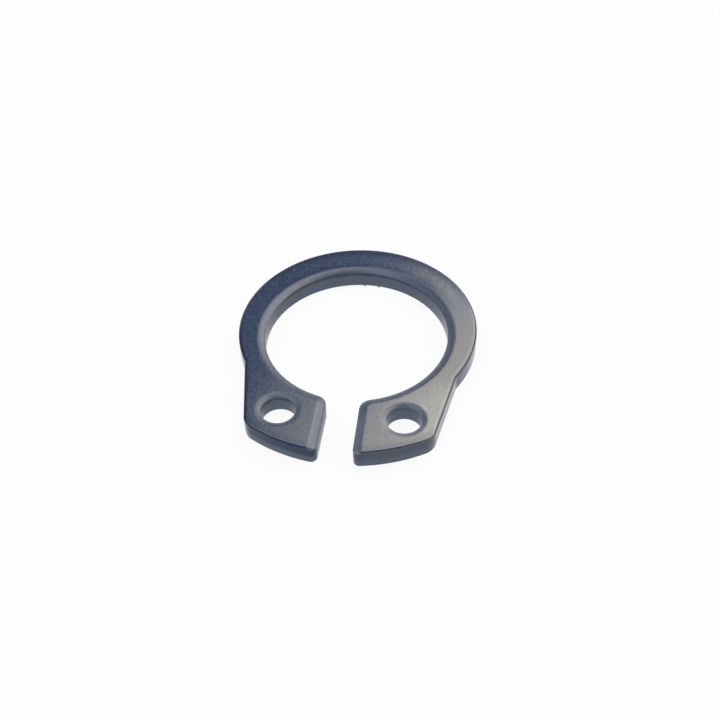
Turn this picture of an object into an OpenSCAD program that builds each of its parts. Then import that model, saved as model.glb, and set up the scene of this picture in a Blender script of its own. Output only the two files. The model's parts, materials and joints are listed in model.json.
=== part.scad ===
// External circlip, the retaining ring for a groove in a 10 mm shaft.
// The ring lies flat on its sharp side. The bore runs along Z, the origin is the middle of the
// bore on the underside, and the opening between the two lugs faces -Y.

/* [Ring] */
// Inner diameter of the free ring, before it is spread over its shaft
bore_d = 9.3; // [8.5:0.1:11]
// Thickness of the strip
thickness = 1; // [0.8:0.05:1.5]
// Width of the band opposite the opening, where it is widest
rear_w = 1.9; // [1.5:0.05:2.5]
// Width that the tapering band comes down to below the lugs
front_w = 0.95; // [0.8:0.05:1.3]

/* [Opening] */
// Width of the opening between the lugs, at the bore
opening_w = 1.6; // [0.8:0.1:2.4]
// Angle by which each face of the opening leans outward
flare = 0.8; // [0:0.2:3]
// Radius of the corner between the bore and the opening
bore_corner_r = 0.65; // [0.55:0.05:1.2]
// Radius of the corner between the opening and the end of a lug
end_corner_r = 0.3; // [0.25:0.05:0.8]

/* [Lugs] */
// Height of the lugs, from the bore to their rounded end
lug_h = 3.35; // [2.9:0.05:4]
// Width of a lug at its end, from the opening to its outer corner
lug_w = 3.7; // [3.2:0.1:4.2]
// Radius of the outer corner
lug_corner_r = 0.95; // [0.5:0.05:1.4]
// Angle from the opening to the shoulder, where the side of a lug meets the band
shoulder_angle = 60; // [52:1:68]
// Radius of the hollow at the shoulder
shoulder_r = 0.6; // [0.3:0.05:1]

/* [Plier holes] */
// Diameter of the holes
hole_d = 1.7; // [1.2:0.05:2]
// Distance from the face of the opening to the middle of a hole
hole_inset = 2.2; // [1.9:0.05:2.4]
// Distance from the bore to the middle of a hole
hole_h = 1.75; // [1.5:0.05:2]

/* [Rolled edges] */
// Radius of the wide edge that the punch rolled over along the bore and the opening
roll_r = 0.66; // [0.5:0.01:0.8]
// Distance that this edge reaches in from the wall
roll_w = 0.42; // [0.2:0.01:0.45]
// Radius of the outer edge, round the band and the lugs
edge_r = 0.2; // [0.19:0.01:0.3]
// Distance that the outer edge reaches in from the wall
edge_w = 0.18; // [0.05:0.01:0.18]
// Radius of the rolled edge of a hole
hole_roll_r = 0.25; // [0.22:0.01:0.35]
// Distance that the rolled edge of a hole reaches in from its wall
hole_roll_w = 0.22; // [0.1:0.01:0.22]

/* [Hidden] */
$fn = 96;

// How far a cut runs past the surface that it opens
past = 0.3;
// How far a rolled edge runs on into the corner that follows it
lap = 0.12;
// How far a rounding stands off its walls, so that the surfaces cross and don't just touch
proud = 0.002;
middle = [0, 0];

// The radius and the reach of each kind of rolled edge
inner_edge = [roll_r, roll_w];
outer_edge = [edge_r, edge_w];
hole_edge = [hole_roll_r, hole_roll_w];

bore_r = bore_d / 2;
lug_r = bore_r + lug_h;
// The outer circle of the band lies off the middle of the bore, which tapers the band.
band_r = bore_r + (rear_w + front_w) / 2;
band_c = [0, (rear_w - front_w) / 2];

// A straight wall is a line: its unit normal into the metal and its distance from the middle.
face_n = along(flare);
face_d = face_n * [opening_w / 2, -bore_r];
corner_x = opening_w / 2 + lug_w;
corner = [corner_x, -sqrt(lug_r * lug_r - corner_x * corner_x)];
shoulder = band_c + band_r * along(shoulder_angle - 90);
side_n = along(heading(corner, shoulder) + 90);
side_d = side_n * corner;

// How far the centre of each rounding lies from its walls
bore_corner_in = bore_corner_r - proud;
end_corner_in = end_corner_r - proud;
lug_corner_in = lug_corner_r - proud;
shoulder_in = shoulder_r - proud;

// The centres of the roundings and of the hole on the right
bore_corner_c = meet(face_n, face_d + bore_corner_in, bore_r + bore_corner_in, -1);
end_corner_c = meet(face_n, face_d + end_corner_in, lug_r - end_corner_in, -1);
lug_corner_c = meet(side_n, side_d + lug_corner_in, lug_r - lug_corner_in, 1);
shoulder_c = band_c + meet(side_n, side_d - side_n * band_c - shoulder_in, band_r + shoulder_in, 1);
hole_c = meet(face_n, face_d + hole_inset, bore_r + hole_h, -1);

// The ends of the straight walls, where the roundings begin
face_top = bore_corner_c - bore_corner_in * face_n;
face_end = end_corner_c - end_corner_in * face_n;
side_top = shoulder_c + shoulder_in * side_n;
side_end = lug_corner_c - lug_corner_in * side_n;

// The directions in which the straight walls look
face_a = 180 + flare;
side_a = heading(side_n, middle);
// The directions from the centre of each arc to its right end
bore_a = heading(middle, bore_corner_c);
band_a = heading(band_c, shoulder_c);
lug_from_a = heading(middle, end_corner_c);
lug_to_a = heading(middle, lug_corner_c);

// The point one unit away in a direction
function along(a) = [cos(a), sin(a)];
// The direction from one point to another
function heading(p, q) = atan2(q.y - p.y, q.x - p.x);
// The point on a line that lies r from the middle, on one side of the line's nearest point
function meet(n, d, r, side) = n * d + side * sqrt(r * r - d * d) * [-n.y, n.x];
// The mirror image of a direction on the left
function mirrored(a) = 180 - a;
// The x of the right face of the opening at a height y
function face_x(y) = opening_w / 2 - (y + bore_r) * tan(flare);

// A thing on the right and its mirror image on the left
module both_sides() {
    children();
    mirror([1, 0, 0])
        children();
}

// The metal between a rounded corner and the sharp one, from one direction to another
module corner_waste(c, r, from, to) {
    half = (to - from) / 2;
    reach = r + past;
    translate(c)
        difference() {
            polygon([
                middle,
                reach * along(from),
                reach / cos(half) * along(from + half),
                reach * along(to)
            ]);
            circle(r);
        }
}

// The right lug with sharp corners, run into the band by its hollow shoulder
module lug_blank() {
    difference() {
        intersection() {
            circle(lug_r);
            polygon([
                middle,
                [0, -2 * lug_r],
                2 * corner - shoulder,
                side_top,
                shoulder_c,
                shoulder_c - shoulder_in * along(band_a)
            ]);
        }
        translate(shoulder_c)
            circle(shoulder_r);
    }
}

// The opening, from inside the bore to past the ends of the lugs
module opening() {
    inner_y = -bore_r / 2;
    outer_y = -lug_r - past;
    polygon([
        [-face_x(inner_y), inner_y],
        [face_x(inner_y), inner_y],
        [face_x(outer_y), outer_y],
        [-face_x(outer_y), outer_y]
    ]);
}

// The flat outline of the ring
module outline() {
    difference() {
        union() {
            translate(band_c)
                circle(band_r);
            both_sides()
                lug_blank();
        }
        circle(bore_r);
        opening();
        both_sides() {
            corner_waste(bore_corner_c, bore_corner_r, bore_a + 180, face_a);
            corner_waste(end_corner_c, end_corner_r, face_a, lug_from_a + 360);
            corner_waste(lug_corner_c, lug_corner_r, lug_to_a, side_a);
            translate(hole_c)
                circle(d = hole_d);
        }
    }
}

// What a rolled edge takes off, with the wall at x = 0 and the upper side at y = 0
module roll(edge) {
    r = edge[0];
    w = edge[1];
    translate([-w, proud - r])
        difference() {
            square([w + past, r + past]);
            circle(r);
        }
}

// The rolled edge of an arc that bulges, run on by a distance past both of its ends
module roll_round(c, r, from, to, edge, more = 0) {
    more_a = more / r * 180 / PI;
    translate([c.x, c.y, thickness])
        rotate_extrude(angle = to - from + 2 * more_a, start = from - more_a)
            translate([r, 0])
                roll(edge);
}

// The rolled edge of a hollow arc, run on by a distance past both of its ends
module roll_hollow(c, r, from, to, edge, more = 0) {
    more_a = more / r * 180 / PI;
    translate([c.x, c.y, thickness])
        rotate_extrude(angle = to - from + 2 * more_a, start = from - more_a)
            translate([r, 0])
                mirror([1, 0])
                    roll(edge);
}

// The rolled edge of a straight wall with its metal on the right, run on past p and q
module roll_straight(p, q, edge, past_p, past_q) {
    way = heading(p, q);
    start = p - past_p * along(way);
    translate([start.x, start.y, thickness])
        rotate([90, 0, way + 90])
            linear_extrude(norm(q - p) + past_p + past_q)
                roll(edge);
}

// The rolled edges of the long walls, which run on into the rounded corners.
// The edge of the opening runs out through the end of each lug.
module rolled_walls() {
    roll_hollow(middle, bore_r, bore_a, mirrored(bore_a), inner_edge, lap);
    roll_round(band_c, band_r, band_a, mirrored(band_a), outer_edge);
    both_sides() {
        roll_round(middle, lug_r, lug_from_a, lug_to_a, outer_edge, lap);
        roll_straight(face_end, face_top, inner_edge, end_corner_r + past, lap);
        roll_straight(side_top, side_end, outer_edge, 0, lap);
    }
}

// The rolled edges of the roundings and of the plier holes
module rolled_corners() {
    both_sides() {
        roll_round(bore_corner_c, bore_corner_r, bore_a + 180, face_a, inner_edge);
        roll_round(end_corner_c, end_corner_r, face_a, lug_from_a + 360, outer_edge);
        roll_round(lug_corner_c, lug_corner_r, lug_to_a, side_a, outer_edge);
        roll_hollow(shoulder_c, shoulder_r, band_a + 180, side_a + 180, outer_edge, lap);
        roll_hollow(hole_c, hole_d / 2, 0, 360, hole_edge);
    }
}

module retaining_ring() {
    color("slategray")
        difference() {
            difference() {
                linear_extrude(thickness)
                    outline();
                rolled_walls();
            }
            rolled_corners();
        }
}

retaining_ring();
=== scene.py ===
"""A blackened external circlip: its steel ring with rolled edges, on a pale floor in soft light."""
import json
import math

import bmesh
import bpy
from bpy.props import FloatProperty, FloatVectorProperty, PointerProperty
from mathutils import Matrix, Vector


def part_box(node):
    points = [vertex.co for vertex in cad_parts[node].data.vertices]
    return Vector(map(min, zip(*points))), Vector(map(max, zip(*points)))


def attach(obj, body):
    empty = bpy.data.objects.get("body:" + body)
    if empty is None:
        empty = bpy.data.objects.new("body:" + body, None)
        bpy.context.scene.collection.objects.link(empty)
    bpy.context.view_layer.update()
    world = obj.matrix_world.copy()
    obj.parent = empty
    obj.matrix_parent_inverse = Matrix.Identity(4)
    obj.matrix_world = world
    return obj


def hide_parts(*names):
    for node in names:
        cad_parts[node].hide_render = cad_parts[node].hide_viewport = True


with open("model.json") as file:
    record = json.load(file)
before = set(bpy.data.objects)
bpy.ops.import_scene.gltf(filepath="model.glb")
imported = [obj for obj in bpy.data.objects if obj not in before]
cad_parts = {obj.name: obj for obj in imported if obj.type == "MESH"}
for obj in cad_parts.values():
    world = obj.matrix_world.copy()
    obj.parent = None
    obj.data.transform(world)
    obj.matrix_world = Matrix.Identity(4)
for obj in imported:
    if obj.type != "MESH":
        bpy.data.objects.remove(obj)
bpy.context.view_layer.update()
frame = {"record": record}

bl_info = {
    "name": "External circlip",
    "version": (1, 0, 0),
    "blender": (4, 5, 0),
    "location": "3D View > Sidebar > Circlip",
    "description": "Makes a blackened steel circlip with rolled edges, and a plain studio for it",
    "category": "Add Mesh",
}

NODE = "retaining_ring"
SLOT = "blackened_spring_steel"

# The shapes are worked out in millimetres and scaled to metres at the end.
MM = 0.001
# Length of one step along the outline, in millimetres
STEP = 0.06
# The least number of steps along an arc
LEAST_ARC_STEPS = 5
# Number of steps round a plier hole
HOLE_STEPS = 96
# Number of steps over an edge, from the wall to the flat
EDGE_STEPS = 7
# Number of steps over the rolled edge of a hole
ROLL_STEPS = 12
# Width of one strip of the wide rolled edge
STRIP = 0.03
# Width of the narrow strip that keeps the shading of a flat or a wall straight
SUPPORT = 0.02
# Two corners closer than this are one
SAME = 0.0005
# A face is flat if at least this share of its normal is upright
UPRIGHT = 0.999
# The distance over which the outer edge grows narrow towards the end of a lug
END_FADE = 0.7
# How fast the rolled edges steepen towards the wall
ROLL_POWER = 2.5
# Strips have their full width up to the first distance from the bore, and the least from the second
STRIP_NEAR = 0.5
STRIP_FAR = 1.4
LEAST_STRIP = 0.15
# The name of the attribute that tells how near a rolled edge is to its wall
ROLL = "roll"
# How far a rounding that shrinks to a point is from it when its corners are joined
JOIN = 0.004
# The corners of the rim within this distance of a sharp end are joined with it
CORNER_REACH = 0.6 * STEP
# The direction from the middle to the rear, and those to the two burrs, in degrees
REAR_DIRECTION = 90
BURR_DIRECTIONS = (92.5, 82.5)
# A crease sharper than this many degrees is shaded as one
CREASE = 35

# The finish, and the light and shade painted into it, change over these places and ranges, in
# millimetres.
# The painted highlight on the right lug, and how far round its middle it fades
LIT_LUG = (4.7, -5.2)
LIT_LUG_R = (3.2, 0.4)
# The rubbed patch at the right of the rear, and its distances from the middle of the bore
RUBBED = (3.6, 4.0)
RUBBED_R = (2.5, 1.0)
RUBBED_INNER_R = (5.1, 5.45)
RUBBED_OUTER_R = (6.5, 5.8)
# The patch of painted shade on the rolled edge
DARK_ROLL = (3.2, 3.5)
DARK_ROLL_R = (2.8, 0.6)
# The one tiny nick in the coat
NICK = (-3.97, 4.45)
NICK_R = (0.05, 0.03)
# Where the painted shade of the left side, the painted light of the right side and the rear begin,
# along X or Y
LEFT_SIDE_X = (-3.0, -5.0)
RIGHT_SIDE_X = (-1.0, 3.0)
RIGHT_SIDE_Y = (3.0, 0.5)
REAR_Y = (1.5, 4.5)
# Where painted light falls on the right edges, the painted highlight on the roll grows, and the
# deeper painted shade of the walls ends
LIT_EDGE_X = (-0.5, 2.0)
LIT_EDGE_Y = (4.0, 0.5)
LIT_ROLL_Y = (-5.2, -6.2)
DEEP_WALL_SHADE_Y = (-6.2, -4.6)
# Distances from the middle of the bore between which painted shade darkens the upper side near its
# edges
LUG_END_R = (7.4, 8.0)
REAR_RIM_R = (5.7, 6.4)
REAR_BORE_R = (5.6, 5.1)
# Depths under the upper side between which a wall and the painted shade on an edge begin
WALL_BELOW = (0.14, 0.17)
EDGE_BELOW = (0.0005, 0.014)
EDGE_END_BELOW = (0.03, 0.12)
# Heights over which the wall begins above the lower side
BOTTOM_BREAK = (0.0, 0.03)
# Depth of the relief at full strength, and the share that each noise has in it
RELIEF_H = 0.01
GRAIN_RELIEF = 0.5
MOTTLE_RELIEF = 0.6
STREAK_RELIEF = 0.6
SHEAR_RELIEF = 0.8
# Each noise: its scale per millimetre, its detail and its roughness
CLOUDS = (0.55, 3.0, 0.5)
MOTTLE = (5.0, 4.0, 0.6)
SPOTS = (4.5, 4.0, 0.6)
GRAIN = (26.0, 3.0, 0.6)
STREAKS = (1.0, 3.0, 0.6)
SHEAR = (1.0, 3.0, 0.65)
# How the place is scaled for the noises that run one way, and to leave out its height
STREAK_SCALE = (16.0, 0.7, 1.0)
SHEAR_SCALE = (2.6, 2.6, 0.3)
LEVEL_SCALE = (1.0, 1.0, 0.0)
# The range that a noise mostly keeps to, and those in which two of them thin the coat
NOISE_RANGE = (0.3, 0.7)
MOTTLE_RANGE = (0.4, 0.7)
SPOTS_RANGE = (0.4, 0.62)
# How far across the ring, from the left of the rear to the right lug, the coat grows thinner and
# painted light grows
LIGHT_AND_WEAR_RANGE = (-6.0, 3.0)
# Shares of the thickness between which the burnished part of a wall, darkened by painted shade, turns
# into the torn one
TEAR_BEGINS = 0.84
TEAR_ENDS = 0.6
# Values of the roll attribute between which the finish turns into that of a rolled edge
ROLLED = (0.08, 0.5)
NO_ROLL = (0.0, 0.08)

# The floor's half width and how far it lies under the ring, in metres
FLOOR_HALF = 3.0
FLOOR_DROP = 0.00001
# The two panels: name, size and place, in metres
BACK_PANEL = ("back_panel", (1.7, 0.4), (-0.15, 0.9, 0.2))
LEFT_PANEL = ("left_panel", (0.9, 0.9), (-0.4, 0.0, 0.69))
# Roughly the direction in which the flat upper side mirrors the camera's view
MIRRORED_VIEW = (0.0, 1.0, 1.0)
# The nearest and the farthest that the camera sees, in metres
CLIP_START = 0.001
CLIP_END = 10.0

mounts = {mount["name"]: mount for mount in frame["record"]["mounts"]}
node_low, node_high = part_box(NODE)
BORE_R = mounts["shaft_bore"]["dims"]["r_mm"] * MM
HOLE_R = mounts["plier_hole_right"]["dims"]["r_mm"] * MM
HOLE_X, HOLE_Y, _ = mounts["plier_hole_right"]["pos_m"]
THICKNESS = node_high.z - node_low.z


def length(name, description, default, low=0.0, high=0.02):
    """A length that a user may change, in metres."""
    return FloatProperty(
        name=name,
        description=description,
        default=default,
        min=low,
        max=high,
        precision=6,
        subtype="DISTANCE",
        unit="LENGTH",
    )


def angle(name, description, degrees):
    """An angle that a user may change."""
    return FloatProperty(
        name=name,
        description=description,
        default=math.radians(degrees),
        subtype="ANGLE",
        unit="ROTATION",
    )


def power(name, description, default):
    """The power of a lamp."""
    return FloatProperty(
        name=name, description=description, default=default, min=0.0, subtype="POWER", unit="POWER"
    )


def share(name, description, default, low=0.0, high=1.0):
    """A plain number that a user may change."""
    return FloatProperty(name=name, description=description, default=default, min=low, max=high)


def colour(name, description, default):
    """A colour that a user may change."""
    return FloatVectorProperty(
        name=name,
        description=description,
        default=default,
        min=0.0,
        max=1.0,
        size=3,
        subtype="COLOR",
    )


class CirclipSizes(bpy.types.PropertyGroup):
    """The sizes of the ring."""

    bore_r: length("Bore radius", "Radius of the free ring's bore", BORE_R)
    thickness: length("Thickness", "Thickness of the strip", THICKNESS)
    rear_w: length("Rear width", "Width of the band opposite the opening", 0.0019)
    front_w: length("Front width", "Width that the band tapers down to", 0.00095)
    opening_w: length("Opening", "Width of the opening between the lugs at the bore", 0.0016)
    flare: angle("Flare", "Angle by which each face of the opening leans outward", 0.8)
    bore_corner_r: length("Bore corner", "Radius between the bore and the opening", 0.00065)
    end_corner_r: length("End corner", "Radius between the opening and a lug's end", 0.0003)
    lug_h: length("Lug height", "Height of a lug from the bore to its end", 0.00335)
    lug_w: length("Lug width", "Width of a lug at its end", 0.0037)
    lug_corner_r: length("Lug corner", "Radius of a lug's outer corner", 0.00095)
    shoulder: angle("Shoulder", "Angle from the opening to where a lug meets the band", 60)
    shoulder_r: length("Shoulder radius", "Radius of the hollow at the shoulder", 0.0006)
    hole_r: length("Hole radius", "Radius of a plier hole", HOLE_R)
    hole_x: length("Hole across", "Distance of a hole from the middle line", HOLE_X)
    hole_y: length("Hole forward", "Place of a hole along the middle line", HOLE_Y, -0.02)


class EdgeSizes(bpy.types.PropertyGroup):
    """The sizes of the edges."""

    roll_h: length("Roll depth", "Depth of the edge that the punch rolled over", 0.00015)
    roll_w: length("Roll width", "How far that edge reaches in from the bore and opening", 0.00046)
    hole_roll_h: length("Hole roll depth", "Depth of the rolled edge of a hole", 0.00007)
    hole_roll_w: length("Hole roll width", "How far that edge reaches in from the hole", 0.00032)
    edge_r: length("Outer edge radius", "Radius of the outer edge on the upper side", 0.0002)
    edge_w: length("Outer edge width", "How far that edge reaches in from the wall", 0.00018)
    end_r: length("End edge radius", "Radius of that edge at the end of a lug", 0.0001)
    end_w: length("End edge width", "How far it reaches in at the end of a lug", 0.00009)
    sharp_w: length("Lower edge", "Width of the tiny break on the sharp lower edge", 0.00003)
    burr: length("Burr", "Length of the two burrs that the punch left at the rear", 0.00006)


class SteelLook(bpy.types.PropertyGroup):
    """The finish of the steel, and the light and shade painted into it."""

    steel: colour("Steel", "Colour of the phosphated and oiled steel", (0.107, 0.138, 0.213))
    # Painted light: a neutral, less blue tone for the coat on the right side.
    lit_grey: colour("Worn steel", "Colour of the coat on the right side", (0.125, 0.14, 0.16))
    # Pale steel is also the colour of the painted light on the right side and of a painted highlight
    # on the right lug's rolled edge.
    pale: colour("Pale steel", "Colour where the coat is thin", (0.25, 0.256, 0.262))
    # The rolled edges' own colour, kept dark enough that it also paints shade over their highlight.
    rolled: colour("Rolled steel", "Colour of the rolled edges", (0.132, 0.145, 0.175))
    bare: colour("Bare steel", "Colour in the one tiny nick of the coat", (0.6, 0.6, 0.6))
    # Also painted shade: the upper walls, the edges of the upper side and a patch of the roll are
    # darkened with it.
    burnish_and_shade: colour("Burnished wall", "Colour of the upper half of a wall", (0.04, 0.053, 0.088))
    # Painted light: the walls and edges on the right side are lighter.
    bright: colour("Bright burnish", "The same where the coat is thin", (0.088, 0.102, 0.128))
    fracture: colour("Broken wall", "Colour of the rougher lower half", (0.093, 0.112, 0.15))
    gloss: share("Roughness", "Roughness of the flat faces", 0.23)
    wall_gloss: share("Wall roughness", "Roughness of the sheared walls", 0.32)
    roll_gloss: share("Edge roughness", "Roughness of the rolled edges", 0.38)
    grain: share("Grain", "Strength of the fine grain in relief", 0.012)


class StudioLook(bpy.types.PropertyGroup):
    """The floor, the light and the camera."""

    floor: colour("Floor", "Colour of the floor", (0.9, 0.9, 0.9))
    floor_glow: share("Floor glow", "Share of the floor's own white that the camera sees", 0.92)
    air: colour("Surroundings", "Colour of the light from all round", (0.25, 0.29, 0.4))
    lamp: colour("Lamp", "Colour of the large soft lamp", (1.0, 0.91, 0.74))
    lamp_power: power("Lamp power", "Power of the large soft lamp", 4.6)
    lamp_w: length("Lamp width", "Width of the large soft lamp", 0.958, 0.01, 10.0)
    lamp_h: length("Lamp length", "Length of the large soft lamp", 0.797, 0.01, 10.0)
    lamp_x: length("Lamp across", "Place of the lamp across the ring", 0.369, -10.0, 10.0)
    lamp_y: length("Lamp along", "Place of the lamp along the ring", 0.3935, -10.0, 10.0)
    lamp_z: length("Lamp height", "Height of the lamp", 0.591, 0.0, 10.0)
    lamp_turn: angle("Lamp turn", "Turn of the lamp about its own axis", -21.7)
    panel: colour("Panels", "Colour of the two dim panels", (0.9, 0.94, 1.0))
    back_power: power("Back power", "Power of the low panel behind the ring", 2.2)
    left_power: power("Left power", "Power of the panel over the left of the ring", 2.5)
    view_azimuth: angle("View azimuth", "Direction of the camera round the ring", 8.944)
    view_elevation: angle("View elevation", "Height of the camera above the floor", 45.281)
    view_roll: angle("View roll", "Turn of the camera about its own axis", -2.144)
    view_distance: length("View distance", "Distance of the camera from its aim", 0.055377, 0.0, 1.0)
    view_x: length("Aim across", "Place on the floor that the camera looks at", 0.000296, -0.02)
    view_y: length("Aim along", "Place on the floor that the camera looks at", -0.001034, -0.02)
    lens: FloatProperty(
        name="Lens",
        description="Focal length of the camera on a 36 mm sensor",
        default=54.55,
        min=1.0,
        subtype="DISTANCE_CAMERA",
    )


# Plane geometry of the outline, with angles in degrees


def along(a):
    """The point one unit away in a direction."""
    return Vector((math.cos(math.radians(a)), math.sin(math.radians(a)), 0.0))


def heading(p, q):
    """The direction from one point to another."""
    return math.degrees(math.atan2(q.y - p.y, q.x - p.x))


def meet(normal, distance, r, side):
    """The point on a line that lies r from the middle, on one side of the line's nearest point."""
    reach = math.sqrt(r * r - distance * distance)
    return normal * distance + side * reach * Vector((-normal.y, normal.x, 0.0))


def swing(shape, corner, centre, start, end):
    """Draws an arc about a centre from a corner, and returns the corner at its end."""
    r = (corner.co - centre).length
    turn = math.radians(end - start)
    steps = max(LEAST_ARC_STEPS, round(abs(turn) * r / STEP))
    made = bmesh.ops.spin(
        shape, geom=[corner], cent=centre, axis=(0, 0, 1), angle=turn, steps=steps
    )
    return made["geom_last"][0]


def walk(shape, corner, end):
    """Draws a straight line from a corner to a place, and returns the corner at its end."""
    steps = max(1, round((end - corner.co).length / STEP))
    move = (end - corner.co) / steps
    for _ in range(steps):
        corner = bmesh.ops.extrude_vert_indiv(shape, verts=[corner])["verts"][0]
        bmesh.ops.translate(shape, verts=[corner], vec=move)
    return corner


class Plan:
    """The ring seen from above, in millimetres: the centres, radii and directions of its outline."""

    def __init__(self, ring):
        middle = Vector((0.0, 0.0, 0.0))
        self.bore_r = ring.bore_r / MM
        self.bore_corner_r = ring.bore_corner_r / MM
        self.end_corner_r = ring.end_corner_r / MM
        self.lug_corner_r = ring.lug_corner_r / MM
        self.lug_r = self.bore_r + ring.lug_h / MM
        rear_w = ring.rear_w / MM
        front_w = ring.front_w / MM
        shoulder_r = ring.shoulder_r / MM
        half_opening = ring.opening_w / MM / 2

        self.band_r = self.bore_r + (rear_w + front_w) / 2
        self.band_c = Vector((0.0, (rear_w - front_w) / 2, 0.0))
        self.flare = math.degrees(ring.flare)
        self.face_n = along(self.flare)
        self.face_d = self.face_n.dot(Vector((half_opening, -self.bore_r, 0.0)))
        corner_x = half_opening + ring.lug_w / MM
        corner = Vector((corner_x, -math.sqrt(self.lug_r**2 - corner_x**2), 0.0))
        shoulder = self.band_c + self.band_r * along(math.degrees(ring.shoulder) - 90)
        self.side_n = along(heading(corner, shoulder) + 90)
        side_d = self.side_n.dot(corner)

        self.bore_corner_c = self.corner_by_face(self.bore_corner_r, self.bore_r + self.bore_corner_r)
        self.end_corner_c = self.corner_by_face(self.end_corner_r, self.lug_r - self.end_corner_r)
        self.lug_corner_c = meet(
            self.side_n, side_d + self.lug_corner_r, self.lug_r - self.lug_corner_r, 1
        )
        shoulder_d = side_d - self.side_n.dot(self.band_c) - shoulder_r
        self.shoulder_c = self.band_c + meet(self.side_n, shoulder_d, self.band_r + shoulder_r, 1)

        self.band_a = heading(self.band_c, self.shoulder_c)
        self.side_a = heading(self.side_n, middle)
        self.lug_to_a = heading(middle, self.lug_corner_c)
        self.lug_from_a = heading(middle, self.end_corner_c)
        self.bore_a = heading(middle, self.bore_corner_c)

    def corner_by_face(self, r, from_middle):
        """The centre of a rounding beside the face of the opening."""
        return meet(self.face_n, self.face_d + r, from_middle, -1)

    def depth_in(self, place):
        """How far a place lies inside the metal from the wall of the bore or the opening."""
        place = Vector((abs(place.x), place.y, 0.0))
        if place.y > 0:
            return place.length - self.bore_r
        off_corner = place - self.bore_corner_c
        toward = math.degrees(math.atan2(off_corner.y, off_corner.x)) % 360
        if self.bore_a + 180 < toward < self.flare + 180:
            return self.bore_corner_r - off_corner.length
        return min(place.length - self.bore_r, self.face_n.dot(place) - self.face_d)


def draw_outline(shape, plan):
    """Draws the right half of the outline from the rear of the band to the rear of the bore."""
    middle = Vector((0.0, 0.0, 0.0))
    rear = plan.band_c + Vector((0.0, plan.band_r, 0.0))
    pen = bmesh.ops.create_vert(shape, co=rear)["vert"][0]
    pen = swing(shape, pen, plan.band_c, REAR_DIRECTION, plan.band_a)
    pen = swing(shape, pen, plan.shoulder_c, plan.band_a, plan.side_a)
    pen = walk(shape, pen, plan.lug_corner_c - plan.lug_corner_r * plan.side_n)
    pen = swing(shape, pen, plan.lug_corner_c, plan.side_a, plan.lug_to_a)
    pen = swing(shape, pen, middle, plan.lug_to_a, plan.lug_from_a)
    pen = swing(shape, pen, plan.end_corner_c, plan.lug_from_a, plan.flare - 180)
    pen = walk(shape, pen, plan.bore_corner_c - plan.bore_corner_r * plan.face_n)
    pen = swing(shape, pen, plan.bore_corner_c, plan.flare + 180, plan.bore_a + 180)
    swing(shape, pen, middle, plan.bore_a, REAR_DIRECTION)


def drop(inward, r, width):
    """How far a round edge of radius r lies under the flat, at a distance in from the wall."""
    if inward >= width:
        return 0.0
    return r - math.sqrt(r * r - (width - max(inward, 0.0)) ** 2)


def rolled_drop(inward, depth, width):
    """How far a rolled edge lies under the flat, at a distance in from the wall."""
    return depth * max(1 - max(inward, 0.0) / width, 0.0) ** ROLL_POWER


def roll_steps(depth, width):
    """The steps of a rolled edge from the wall to the flat, each as a move inward and one up."""
    places = [width * i / ROLL_STEPS for i in range(ROLL_STEPS + 1)]
    drops = [rolled_drop(place, depth, width) for place in places]
    return [(width / ROLL_STEPS, a - b) for a, b in zip(drops, drops[1:])]


def edge_steps(r, width):
    """The steps of an edge from the wall to the flat, each as a move inward and one up."""
    steepest = math.asin(width / r)
    slopes = [steepest * (1 - i / EDGE_STEPS) for i in range(EDGE_STEPS + 1)]
    places = [(width - r * math.sin(slope), -r * (1 - math.cos(slope))) for slope in slopes]
    return [(b[0] - a[0], b[1] - a[1]) for a, b in zip(places, places[1:])]


def lift(shape, faces, up):
    """Raises flat faces on new walls, and returns them."""
    made = bmesh.ops.extrude_face_region(shape, geom=faces)["geom"]
    corners = [item for item in made if isinstance(item, bmesh.types.BMVert)]
    bmesh.ops.translate(shape, verts=corners, vec=(0, 0, up))
    return [item for item in made if isinstance(item, bmesh.types.BMFace)]


def step_in(shape, faces, inward, outward):
    """Draws flat faces in from their edge and moves them along their normal."""
    bmesh.ops.inset_region(
        shape,
        faces=faces,
        use_boundary=True,
        use_even_offset=True,
        thickness=inward,
        depth=outward,
    )


def facing(faces, z):
    """Those of the faces that look straight up or straight down."""
    return [face for face in faces if face.normal.z * z > UPRIGHT]


def disc_at(faces, place):
    """The face that fills the plier hole at a place."""
    discs = [face for face in faces if len(face.verts) == HOLE_STEPS]
    return min(discs, key=lambda disc: (disc.calc_center_median().xy - place.xy).length)


def widen(shape, face, by):
    """Moves the edge of a round face outward."""
    middle = face.calc_center_median()
    r = (face.verts[0].co - middle).length
    bmesh.ops.scale(
        shape, verts=face.verts[:], vec=(1 + by / r, 1 + by / r, 1), space=Matrix.Translation(-middle)
    )


def draw_circle(shape, place, r):
    """Draws a circle flat at a place, and returns its edges."""
    made = bmesh.ops.create_circle(
        shape, segments=HOLE_STEPS, radius=r, matrix=Matrix.Translation(place)
    )
    return list({edge for corner in made["verts"] for edge in corner.link_edges})


def fill_outline(shape, edges, rims):
    """Fills an outline and the round rims in it with flat faces, and returns the round ones."""
    bmesh.ops.triangle_fill(shape, use_beauty=True, edges=edges, normal=(0, 0, 1))
    discs = [bmesh.ops.edgeloop_fill(shape, edges=rim)["faces"][0] for rim in rims]
    bmesh.ops.recalc_face_normals(shape, faces=shape.faces[:])
    return discs


def open_edges(shape):
    """The edges on the rim of the one opening that the shape has."""
    return [edge for edge in shape.edges if edge.is_boundary]


def strip_share(plan, place):
    """The width of a strip at a place: full along the bore and the opening, and else narrow."""
    far = (plan.depth_in(place) - STRIP_NEAR) / (STRIP_FAR - STRIP_NEAR)
    return 1 - (1 - LEAST_STRIP) * min(max(far, 0.0), 1.0)


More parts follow.
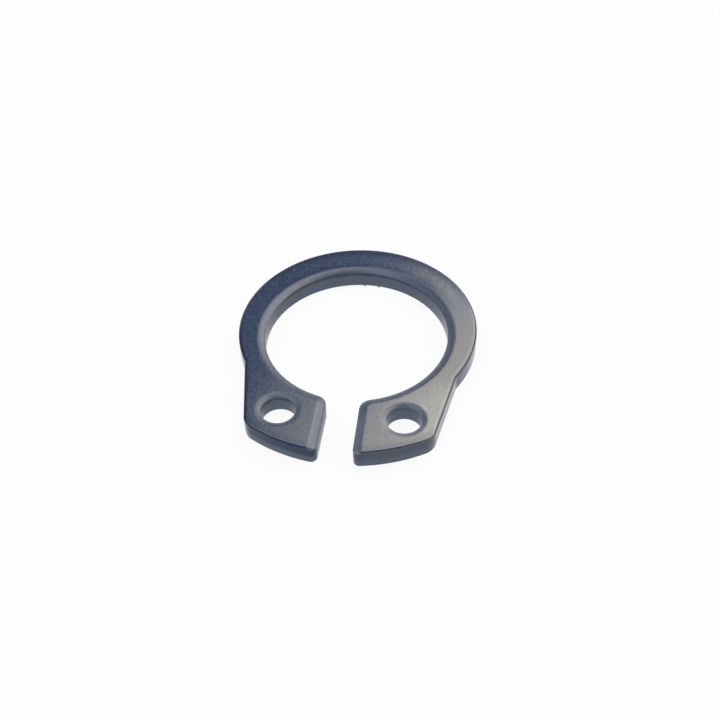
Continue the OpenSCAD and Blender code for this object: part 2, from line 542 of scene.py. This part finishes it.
def draw_in(shape, plan, rim, inward):
    """Extrudes the rim of the open flat, draws it in, and returns the new rim."""
    normals = {}
    for edge in rim:
        first, second = edge.verts
        way = second.co - first.co
        normal = Vector((-way.y, way.x, 0.0)).normalized()
        outside = edge.link_faces[0].calc_center_median()
        if normal.dot(first.co - outside) < 0:
            normal = -normal
        for corner in (first, second):
            normals.setdefault(corner, []).append(normal)
    moves = {}
    for corner, (one, other) in normals.items():
        inward_here = inward * strip_share(plan, corner.co)
        moves[tuple(corner.co)] = inward_here / (1 + one.dot(other)) * (one + other)
    made = bmesh.ops.extrude_edge_only(shape, edges=rim)["geom"]
    corners = {item for item in made if isinstance(item, bmesh.types.BMVert)}
    for corner in corners:
        corner.co += moves[tuple(corner.co)]
    edges = [item for item in made if isinstance(item, bmesh.types.BMEdge)]
    return [edge for edge in edges if edge.is_boundary and corners.issuperset(edge.verts)]


def join_corners(shape, plan, rim, inward):
    """Joins the rim's corners at the sharp end of each face of the opening, and returns the rim."""
    place = plan.corner_by_face(inward, plan.lug_r - inward)
    for side in (1, -1):
        centre = Vector((side * place.x, place.y, 0.0))
        corners = {corner for edge in rim for corner in edge.verts}
        near = [corner for corner in corners if (corner.co.xy - centre.xy).length < CORNER_REACH]
        bmesh.ops.pointmerge(shape, verts=near, merge_co=(centre.x, centre.y, near[0].co.z))
        rim = open_edges(shape)
    return rim


def strips_inward(shape, plan, rim, start, width):
    """Draws the rim of the open flat in by narrow strips, from one distance to another."""
    for strip in even_steps(start, plan.end_corner_r - JOIN):
        rim = draw_in(shape, plan, rim, strip)
    # The small rounding at the end of each lug has shrunk to a point here.
    inward = plan.end_corner_r
    rim = join_corners(shape, plan, rim, inward)
    for strip in even_steps(inward, width):
        rim = draw_in(shape, plan, rim, strip)
        inward += strip
        rim = join_corners(shape, plan, rim, inward)
    return rim


def even_steps(start, end):
    """The steps from one distance to another, each no wider than a strip."""
    count = max(1, math.ceil((end - start) / STRIP))
    return [(end - start) / count] * count


def sharpen_ends(shape, plan, edges, thickness, edge_h):
    """Makes the outer edge narrower round the ends of the lugs, which were cut almost square."""
    r = edges.edge_r / MM
    width = edges.edge_w / MM
    first_y = plan.lug_corner_c.y
    for corner in shape.verts:
        down = thickness - corner.co.z
        if SAME < down < edge_h + 2 * SUPPORT:
            down = min(down, edge_h)
            inward = width - math.sqrt(r * r - (r - down) ** 2)
            sharper = down - drop(inward, edges.end_r / MM, edges.end_w / MM)
            share = min(max((first_y - corner.co.y) / END_FADE, 0.0), 1.0)
            corner.co.z += share * sharper


def roll_over(shape, plan, edges, thickness, edge_h):
    """Lowers the upper side along the bore and the opening, as the punch drew it down."""
    depth = edges.roll_h / MM
    width = edges.roll_w / MM
    roll = shape.verts.layers.float[ROLL]
    for corner in shape.verts:
        inward = plan.depth_in(corner.co)
        down = rolled_drop(inward, depth, width)
        below = thickness - corner.co.z
        if below < edge_h + 2 * SUPPORT:
            corner[roll] = min(max(1 - inward / width, 0.0), 1.0)
        if below < edge_h + SAME:
            corner.co.z = min(corner.co.z, thickness - down)
        elif below < edge_h + 2 * SUPPORT:
            corner.co.z -= max(0.0, down - edge_h)


def make_ring_shape(ring, edges):
    """The ring as a closed shape in metres: walls, rolled upper edges, plier holes and burrs."""
    plan = Plan(ring)
    thickness = ring.thickness / MM
    hole_r = ring.hole_r / MM
    sharp_w = edges.sharp_w / MM
    edge_w = edges.edge_w / MM
    hole_roll_w = edges.hole_roll_w / MM
    outer_edge = edge_steps(edges.edge_r / MM, edge_w)
    hole_edge = roll_steps(edges.hole_roll_h / MM, hole_roll_w)
    edge_h = sum(up for _, up in outer_edge)
    holes = [Vector((side * ring.hole_x / MM, ring.hole_y / MM, 0.0)) for side in (1, -1)]

    shape = bmesh.new()
    shape.verts.layers.float.new(ROLL)
    draw_outline(shape, plan)
    bmesh.ops.mirror(
        shape, geom=shape.verts[:] + shape.edges[:], matrix=Matrix(), merge_dist=SAME, axis="X"
    )
    rims = [draw_circle(shape, hole, hole_r) for hole in holes]
    fill_outline(shape, shape.edges[:], rims)
    if shape.faces[0].normal.z < 0:
        bmesh.ops.reverse_faces(shape, faces=shape.faces[:])

    # The walls, between the break of the lower edge and the upper edge
    bmesh.ops.translate(shape, verts=shape.verts[:], vec=(0, 0, sharp_w))
    upper = lift(shape, shape.faces[:], thickness - edge_h - sharp_w - SUPPORT)
    bmesh.ops.recalc_face_normals(shape, faces=shape.faces[:])
    lower = facing(shape.faces, -1)
    step_in(shape, lower, sharp_w, sharp_w)
    for inward, up in [(0, SUPPORT), *outer_edge, (SUPPORT, 0)]:
        step_in(shape, upper, inward, up)
    bmesh.ops.delete(shape, geom=upper, context="FACES")
    rim = open_edges(shape)
    rim = strips_inward(shape, plan, rim, edge_w + SUPPORT, edges.roll_w / MM + SUPPORT)
    upper_side = Vector((0.0, 0.0, thickness))
    rim_r = hole_r + hole_roll_w + SUPPORT
    rims = [draw_circle(shape, hole + upper_side, rim_r) for hole in holes]
    discs = fill_outline(shape, sum(rims, rim), rims)
    sharpen_ends(shape, plan, edges, thickness, edge_h)
    roll_over(shape, plan, edges, thickness, edge_h)

    bottoms = [disc_at(lower, hole) for hole in holes]
    for top, bottom in zip(discs, bottoms):
        sink_hole(shape, top, bottom, hole_edge, sharp_w)
    mark_hole_rolls(shape, holes, hole_r, hole_roll_w, thickness / 2)
    raise_burrs(shape, ring, edges)
    bmesh.ops.remove_doubles(shape, verts=shape.verts[:], dist=SAME / 10)
    bmesh.ops.recalc_face_normals(shape, faces=shape.faces[:])
    bmesh.ops.scale(shape, verts=shape.verts[:], vec=(MM, MM, MM))
    for face in shape.faces:
        face.smooth = True
    return shape


def sink_hole(shape, top, bottom, hole_edge, sharp_w):
    """Opens a plier hole, from its own rolled edge down to the break of the lower one."""
    step_in(shape, [top], SUPPORT, 0)
    widen(shape, bottom, sharp_w)
    for inward, up in reversed(hole_edge):
        step_in(shape, [top], inward, -up)
    step_in(shape, [bottom], sharp_w, -sharp_w)
    rim = top.edges[:] + bottom.edges[:]
    bmesh.ops.delete(shape, geom=[top, bottom], context="FACES_ONLY")
    bmesh.ops.bridge_loops(shape, edges=rim)


def mark_hole_rolls(shape, holes, hole_r, width, above):
    """Marks the rolled edges of the plier holes like those of the bore and the opening."""
    roll = shape.verts.layers.float[ROLL]
    for corner in shape.verts:
        inward = min((corner.co.xy - hole.xy).length for hole in holes) - hole_r
        if corner.co.z > above and inward < width:
            corner[roll] = min(1 - inward / width, 1.0)


def raise_burrs(shape, ring, edges):
    """Draws out the two burrs on the lower edge at the rear of the bore."""
    bore_r = ring.bore_r / MM
    reach = (edges.burr + edges.sharp_w) / MM
    edge = [corner for corner in shape.verts if corner.co.z < SAME]
    for burr_a in BURR_DIRECTIONS:
        place = bore_r * along(burr_a)
        nearest = min(edge, key=lambda corner: (corner.co.xy - place.xy).length)
        bmesh.ops.translate(shape, verts=[nearest], vec=-reach * along(burr_a))


class Nodes:
    """A shorthand for building a material or world out of nodes."""

    def __init__(self, tree):
        self.tree = tree
        tree.nodes.clear()

    def add(self, kind, inputs=None, **settings):
        """Adds a node, with its settings and the values or links of its inputs."""
        node = self.tree.nodes.new(kind)
        for name, value in settings.items():
            setattr(node, name, value)
        for name, value in (inputs or {}).items():
            socket = node.inputs[name]
            if isinstance(value, bpy.types.NodeSocket):
                self.tree.links.new(value, socket)
            else:
                socket.default_value = value
        return node

    def noise(self, place, scale, detail, roughness):
        """Soft noise at a scale given per millimetre."""
        return self.add(
            "ShaderNodeTexNoise",
            {"Vector": place, "Scale": scale, "Detail": detail, "Roughness": roughness},
        ).outputs["Fac"]

    def stretch(self, place, scale):
        """The place with each direction scaled, for streaks."""
        return self.add("ShaderNodeMapping", {"Vector": place, "Scale": scale}).outputs["Vector"]

    def span(self, value, from_low, from_high, to_low=0.0, to_high=1.0, smooth=True):
        """Turns one range of a value into another."""
        return self.add(
            "ShaderNodeMapRange",
            {
                "Value": value,
                "From Min": from_low,
                "From Max": from_high,
                "To Min": to_low,
                "To Max": to_high,
            },
            interpolation_type="SMOOTHSTEP" if smooth else "LINEAR",
        ).outputs["Result"]

    def math(self, operation, first, second):
        """The result of one operation on two values."""
        return self.add("ShaderNodeMath", {0: first, 1: second}, operation=operation).outputs[0]

    def plus(self, first, second):
        """The sum of two values."""
        return self.math("ADD", first, second)

    def times(self, first, second):
        """The product of two values."""
        return self.math("MULTIPLY", first, second)

    def blend(self, share, first, second):
        """A colour between two colours."""
        node = self.add("ShaderNodeMix", {"Factor": share}, data_type="RGBA")
        for name, value in (("A", first), ("B", second)):
            socket = [s for s in node.inputs if s.name == name and s.type == "RGBA"][0]
            if isinstance(value, bpy.types.NodeSocket):
                self.tree.links.new(value, socket)
            else:
                socket.default_value = value
        return [s for s in node.outputs if s.type == "RGBA"][0]


def opaque(rgb):
    """A colour with a full alpha."""
    return (*rgb, 1.0)


class SteelNodes(Nodes):
    """Phosphated, oiled spring steel: dark, satin, finely grained, with duller sheared walls; light
    and shade are painted in.
    """

    def __init__(self, tree, look, thickness):
        super().__init__(tree)
        self.look = look
        self.top = thickness / MM
        place = self.add("ShaderNodeTexCoord").outputs["Object"]
        self.place = self.stretch(place, (1 / MM, 1 / MM, 1 / MM))
        parts = self.add("ShaderNodeSeparateXYZ", {"Vector": self.place}).outputs
        self.x = parts["X"]
        self.y = parts["Y"]
        self.height = parts["Z"]
        self.from_middle = self.add(
            "ShaderNodeVectorMath",
            {0: self.stretch(self.place, LEVEL_SCALE)},
            operation="LENGTH",
        ).outputs["Value"]
        self.mottle = self.noise(self.place, *MOTTLE)
        self.streaks = self.noise(self.stretch(self.place, STREAK_SCALE), *STREAKS)
        self.shear = self.noise(self.stretch(self.place, SHEAR_SCALE), *SHEAR)
        self.roll = self.add("ShaderNodeAttribute", attribute_name=ROLL).outputs["Fac"]
        self.rolled = self.span(self.roll, *ROLLED)
        self.wall = self.times(self.below(*WALL_BELOW), self.span(self.height, *BOTTOM_BREAK))

    def below(self, begin, end):
        """The share of a look that sets in between two depths under the upper side."""
        return self.span(self.height, self.top - begin, self.top - end)

    def distance(self, spot):
        """The distance from a spot on the upper side."""
        return self.add(
            "ShaderNodeVectorMath", {0: self.place, 1: (*spot, self.top)}, operation="DISTANCE"
        ).outputs["Value"]

    def coat_thinned_and_lit(self):
        """How pale the upper side is: a coat thinned at random, and painted light, palest on the
        right lug and darkest on the left of the ring.
        """
        clouds = self.noise(self.place, *CLOUDS)
        # Painted light grows towards the right and the front, the clouds wear the coat thinner at
        # random, and painted shade darkens the left side.
        lit_and_worn = self.math("SUBTRACT", self.x, self.y)
        lit_and_worn = self.plus(lit_and_worn, self.span(clouds, *NOISE_RANGE, to_low=-0.8, to_high=0.8))
        lit_and_worn = self.plus(lit_and_worn, self.span(self.x, *LEFT_SIDE_X, to_high=-5.0))
        thinned_and_lit = self.span(lit_and_worn, *LIGHT_AND_WEAR_RANGE, to_high=0.5, smooth=False)
        # Painted highlight over the right lug.
        thinned_and_lit = self.plus(thinned_and_lit, self.span(self.distance(LIT_LUG), *LIT_LUG_R, to_high=0.5))
        thinned_and_lit = self.plus(thinned_and_lit, self.span(self.mottle, *MOTTLE_RANGE, to_high=0.1))
        return self.plus(thinned_and_lit, self.rubbed_spots())

    def rubbed_spots(self):
        """Small spots on the right of the rear, along the middle of the band."""
        spots = self.noise(self.place, *SPOTS)
        spots = self.span(spots, *SPOTS_RANGE, to_low=0.12, to_high=0.4)
        spots = self.times(spots, self.span(self.distance(RUBBED), *RUBBED_R))
        spots = self.times(spots, self.span(self.from_middle, *RUBBED_INNER_R))
        return self.times(spots, self.span(self.from_middle, *RUBBED_OUTER_R))

    def flat_tone(self, thinned_and_lit):
        """The colour of the upper side, from how far its coat is thinned, with painted light on the
        right and painted shade near its edges.
        """
        look = self.look
        # Painted light: the coat turns from blue to a neutral tone towards the right and the front.
        right = self.times(self.span(self.x, *RIGHT_SIDE_X), self.span(self.y, *RIGHT_SIDE_Y))
        coat = self.blend(right, opaque(look.steel), opaque(look.lit_grey))
        tone = self.blend(thinned_and_lit, coat, opaque(look.pale))
        # Painted shade darkens the upper side towards the ends of the lugs and on both sides of the
        # rear.
        lug_end = self.span(self.from_middle, *LUG_END_R, to_high=0.3)
        rear = self.span(self.y, *REAR_Y)
        rear_rim = self.times(rear, self.span(self.from_middle, *REAR_RIM_R, to_high=0.6))
        rear_bore = self.times(rear, self.span(self.from_middle, *REAR_BORE_R, to_high=0.35))
        edge_shade = self.math("MAXIMUM", self.math("MAXIMUM", lug_end, rear_rim), rear_bore)
        tone = self.blend(edge_shade, tone, opaque(look.burnish_and_shade))
        nick = self.span(self.distance(NICK), *NICK_R, to_high=0.8)
        return self.blend(nick, tone, opaque(look.bare))

    def shaded_edge(self, lit_edge):
        """Where painted shade darkens an edge like the wall below it: all of it, or the lower part
        where painted light falls.
        """
        unlit = self.span(lit_edge, 0.0, 1.0, to_low=1.0, to_high=0.0)
        edge = self.times(unlit, self.span(self.roll, *NO_ROLL, to_low=1.0, to_high=0.0))
        edge = self.times(edge, self.below(*EDGE_BELOW))
        return self.math("MAXIMUM", edge, self.below(*EDGE_END_BELOW))

    def roll_tone(self, lit_edge):
        """The colour of the rolled edges, with a painted highlight on the right lug and a patch of
        painted shade at the right of the rear.
        """
        look = self.look
        # Painted highlight on the rolled edges of the right lug.
        pale = self.times(lit_edge, self.span(self.y, *LIT_ROLL_Y, to_high=0.9))
        tone = self.blend(pale, opaque(look.rolled), opaque(look.pale))
        # Painted shade on one patch of the rolled edge.
        dark = self.span(self.distance(DARK_ROLL), *DARK_ROLL_R, to_high=0.5)
        return self.blend(dark, tone, opaque(look.burnish_and_shade))

    def wall_tone(self, burnish_and_shade):
        """The colour of the walls: burnished and darkened by painted shade above, deeper so at the
        lugs' ends, and torn below.
        """
        deeper = self.span(self.y, *DEEP_WALL_SHADE_Y, to_low=0.3, to_high=0.0)
        tear = self.plus(deeper, self.span(self.shear, *NOISE_RANGE, to_low=-0.04, to_high=0.04))
        tear = self.plus(tear, self.height)
        torn = self.span(tear, TEAR_BEGINS * self.top, TEAR_ENDS * self.top)
        return self.blend(torn, burnish_and_shade, opaque(self.look.fracture))

    def tone(self):
        """The colour all over the ring."""
        look = self.look
        # On the right side painted light makes the edges as pale as the flat.
        lit_edge = self.span(self.y, *LIT_EDGE_Y, to_high=0.75)
        lit_edge = self.times(lit_edge, self.span(self.x, *LIT_EDGE_X))
        burnish_and_shade = self.blend(lit_edge, opaque(look.burnish_and_shade), opaque(look.bright))
        tone = self.flat_tone(self.coat_thinned_and_lit())
        tone = self.blend(self.shaded_edge(lit_edge), tone, burnish_and_shade)
        tone = self.blend(self.rolled, tone, self.roll_tone(lit_edge))
        return self.blend(self.wall, tone, self.wall_tone(burnish_and_shade))

    def roughness(self):
        """The roughness: that of the flats, the rolled edges and the walls, a little uneven."""
        look = self.look
        rough = self.plus(
            self.span(self.mottle, *NOISE_RANGE, to_low=-0.03, to_high=0.04),
            self.span(self.streaks, *NOISE_RANGE, to_low=-0.03, to_high=0.03),
        )
        rolled = self.span(self.rolled, 0.0, 1.0, look.gloss, look.roll_gloss, smooth=False)
        on_wall = look.wall_gloss - look.roll_gloss
        wall = self.span(self.wall, 0.0, 1.0, to_high=on_wall, smooth=False)
        return self.plus(self.plus(rough, rolled), wall)

    def relief(self):
        """The fine relief of the surface, as its normal."""
        grain = self.noise(self.place, *GRAIN)
        height = self.plus(self.times(grain, GRAIN_RELIEF), self.times(self.mottle, MOTTLE_RELIEF))
        height = self.plus(height, self.times(self.streaks, STREAK_RELIEF))
        shear = self.times(self.shear, self.wall)
        height = self.plus(height, self.times(shear, SHEAR_RELIEF))
        return self.add(
            "ShaderNodeBump",
            {"Height": height, "Strength": self.look.grain, "Distance": RELIEF_H * MM},
        ).outputs["Normal"]


def make_steel(look, thickness):
    """The material of the ring."""
    steel = bpy.data.materials.new(SLOT)
    steel.use_nodes = True
    nodes = SteelNodes(steel.node_tree, look, thickness)
    surface = nodes.add(
        "ShaderNodeBsdfPrincipled",
        {
            "Base Color": nodes.tone(),
            "Roughness": nodes.roughness(),
            "Metallic": 1.0,
            "Normal": nodes.relief(),
        },
    )
    nodes.add("ShaderNodeOutputMaterial", {"Surface": surface.outputs["BSDF"]})
    return steel


def make_floor_paint(look):
    """A plain pale floor: white to the camera and in reflections, with a share of real shadow."""
    paint = bpy.data.materials.new("pale_floor")
    paint.use_nodes = True
    nodes = Nodes(paint.node_tree)
    rays = nodes.add("ShaderNodeLightPath").outputs
    seen = nodes.math("MAXIMUM", rays["Is Camera Ray"], rays["Is Glossy Ray"])
    seen = nodes.math("MAXIMUM", seen, rays["Is Transmission Ray"])
    glow_share = nodes.times(seen, look.floor_glow)
    matt = nodes.add("ShaderNodeBsdfDiffuse", {"Color": opaque(look.floor)}).outputs["BSDF"]
    glow = nodes.add("ShaderNodeEmission", {"Color": opaque((1.0, 1.0, 1.0))}).outputs["Emission"]
    both = nodes.add("ShaderNodeMixShader", {0: glow_share, 1: matt, 2: glow}).outputs["Shader"]
    nodes.add("ShaderNodeOutputMaterial", {"Surface": both})
    return paint


class MESH_OT_circlip_ring(bpy.types.Operator):
    """Make the steel ring with its rolled edges and plier holes"""

    bl_idname = "mesh.circlip_ring"
    bl_label = "Steel ring"
    bl_options = {"REGISTER", "UNDO"}

    def execute(self, context):
        scene = context.scene
        shape = make_ring_shape(scene.circlip_sizes, scene.circlip_edges)
        mesh = bpy.data.meshes.new("steel_ring")
        shape.to_mesh(mesh)
        shape.free()
        mesh.set_sharp_from_angle(angle=math.radians(CREASE))
        mesh.materials.append(make_steel(scene.circlip_steel, scene.circlip_sizes.thickness))
        ring = bpy.data.objects.new("steel_ring", mesh)
        scene.collection.objects.link(ring)
        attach(ring, "root")
        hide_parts(NODE)
        return {"FINISHED"}


class SCENE_OT_circlip_studio(bpy.types.Operator):
    """Make the pale floor, the soft light and the camera"""

    bl_idname = "scene.circlip_studio"
    bl_label = "Studio"
    bl_options = {"REGISTER", "UNDO"}

    def execute(self, context):
        scene = context.scene
        look = scene.circlip_studio
        self.lay_floor(scene, look)
        self.hang_lamps(scene, look)
        self.light_air(scene, look)
        self.stand_camera(scene, look)
        scene.view_settings.view_transform = "Standard"
        return {"FINISHED"}

    def lay_floor(self, scene, look):
        """A wide floor just under the ring."""
        shape = bmesh.new()
        bmesh.ops.create_grid(shape, x_segments=2, y_segments=2, size=FLOOR_HALF)
        bmesh.ops.translate(shape, verts=shape.verts[:], vec=(0, 0, -FLOOR_DROP))
        mesh = bpy.data.meshes.new("floor")
        shape.to_mesh(mesh)
        shape.free()
        mesh.materials.append(make_floor_paint(look))
        floor = bpy.data.objects.new("floor", mesh)
        scene.collection.objects.link(floor)

    def hang_lamps(self, scene, look):
        """A large soft lamp high to the right, a panel over the left and a low one at the back."""
        lamp = self.make_lamp(scene, "soft_lamp", (look.lamp_w, look.lamp_h), look.lamp_power)
        lamp.data.color = look.lamp
        lamp.location = (look.lamp_x, look.lamp_y, look.lamp_z)
        # One edge of the lamp runs across the view, so its reflection fades over the ring.
        away = lamp.location.normalized()
        across = Vector(MIRRORED_VIEW).cross(away).normalized()
        turn = Matrix((away.cross(across), -across, away)).transposed()
        turn = turn @ Matrix.Rotation(look.lamp_turn, 3, "Z")
        lamp.rotation_quaternion = turn.to_quaternion()

        panels = ((BACK_PANEL, look.back_power), (LEFT_PANEL, look.left_power))
        for (name, size, place), panel_power in panels:
            panel = self.make_lamp(scene, name, size, panel_power)
            panel.data.color = look.panel
            panel.location = place
            panel.rotation_quaternion = panel.location.to_track_quat("Z", "Y")

    def make_lamp(self, scene, name, size, energy):
        """A flat lamp with a width and a height."""
        light = bpy.data.lights.new(name, "AREA")
        light.shape = "RECTANGLE"
        light.size, light.size_y = size
        light.energy = energy
        lamp = bpy.data.objects.new(name, light)
        lamp.rotation_mode = "QUATERNION"
        scene.collection.objects.link(lamp)
        return lamp

    def light_air(self, scene, look):
        """Even light from all round."""
        world = bpy.data.worlds.new("surroundings")
        world.use_nodes = True
        nodes = Nodes(world.node_tree)
        air = nodes.add("ShaderNodeBackground", {"Color": opaque(look.air), "Strength": 1.0})
        nodes.add("ShaderNodeOutputWorld", {"Surface": air.outputs["Background"]})
        scene.world = world

    def stand_camera(self, scene, look):
        """The camera of the photograph's view."""
        azimuth = look.view_azimuth
        level = math.cos(look.view_elevation)
        back = Vector(
            (math.sin(azimuth) * level, -math.cos(azimuth) * level, math.sin(look.view_elevation))
        )
        right = Vector((math.cos(azimuth), math.sin(azimuth), 0.0))
        turn = Matrix((right, back.cross(right), back)).transposed()
        turn = turn @ Matrix.Rotation(look.view_roll, 3, "Z")
        data = bpy.data.cameras.new("camera")
        data.lens = look.lens
        data.clip_start = CLIP_START
        data.clip_end = CLIP_END
        camera = bpy.data.objects.new("camera", data)
        camera.rotation_mode = "QUATERNION"
        camera.rotation_quaternion = turn.to_quaternion()
        camera.location = Vector((look.view_x, look.view_y, 0.0)) + look.view_distance * back
        scene.collection.objects.link(camera)
        scene.camera = camera


class VIEW3D_PT_circlip(bpy.types.Panel):
    """The ring, its finish and its studio"""

    bl_idname = "VIEW3D_PT_circlip"
    bl_label = "Circlip"
    bl_space_type = "VIEW_3D"
    bl_region_type = "UI"
    bl_category = "Circlip"

    def draw(self, context):
        scene = context.scene
        parts = (
            (MESH_OT_circlip_ring, (scene.circlip_sizes, scene.circlip_edges, scene.circlip_steel)),
            (SCENE_OT_circlip_studio, (scene.circlip_studio,)),
        )
        for operator, groups in parts:
            box = self.layout.box()
            for group in groups:
                for name in group.__annotations__:
                    box.prop(group, name)
            box.operator(operator.bl_idname)


GROUPS = {
    "circlip_sizes": CirclipSizes,
    "circlip_edges": EdgeSizes,
    "circlip_steel": SteelLook,
    "circlip_studio": StudioLook,
}
OPERATORS = (MESH_OT_circlip_ring, SCENE_OT_circlip_studio)


def register():
    """Adds the classes and hangs the property groups on the scene."""
    for group in GROUPS.values():
        bpy.utils.register_class(group)
    for name, group in GROUPS.items():
        setattr(bpy.types.Scene, name, PointerProperty(type=group))
    for operator in OPERATORS:
        bpy.utils.register_class(operator)
    bpy.utils.register_class(VIEW3D_PT_circlip)


def unregister():
    """Takes everything that register added away again."""
    bpy.utils.unregister_class(VIEW3D_PT_circlip)
    for operator in reversed(OPERATORS):
        bpy.utils.unregister_class(operator)
    for name in GROUPS:
        delattr(bpy.types.Scene, name)
    for group in reversed(GROUPS.values()):
        bpy.utils.unregister_class(group)


def main():
    """Registers the add-on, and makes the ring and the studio."""
    register()
    bpy.ops.mesh.circlip_ring()
    bpy.ops.scene.circlip_studio()


if __name__ == "__main__":
    main()
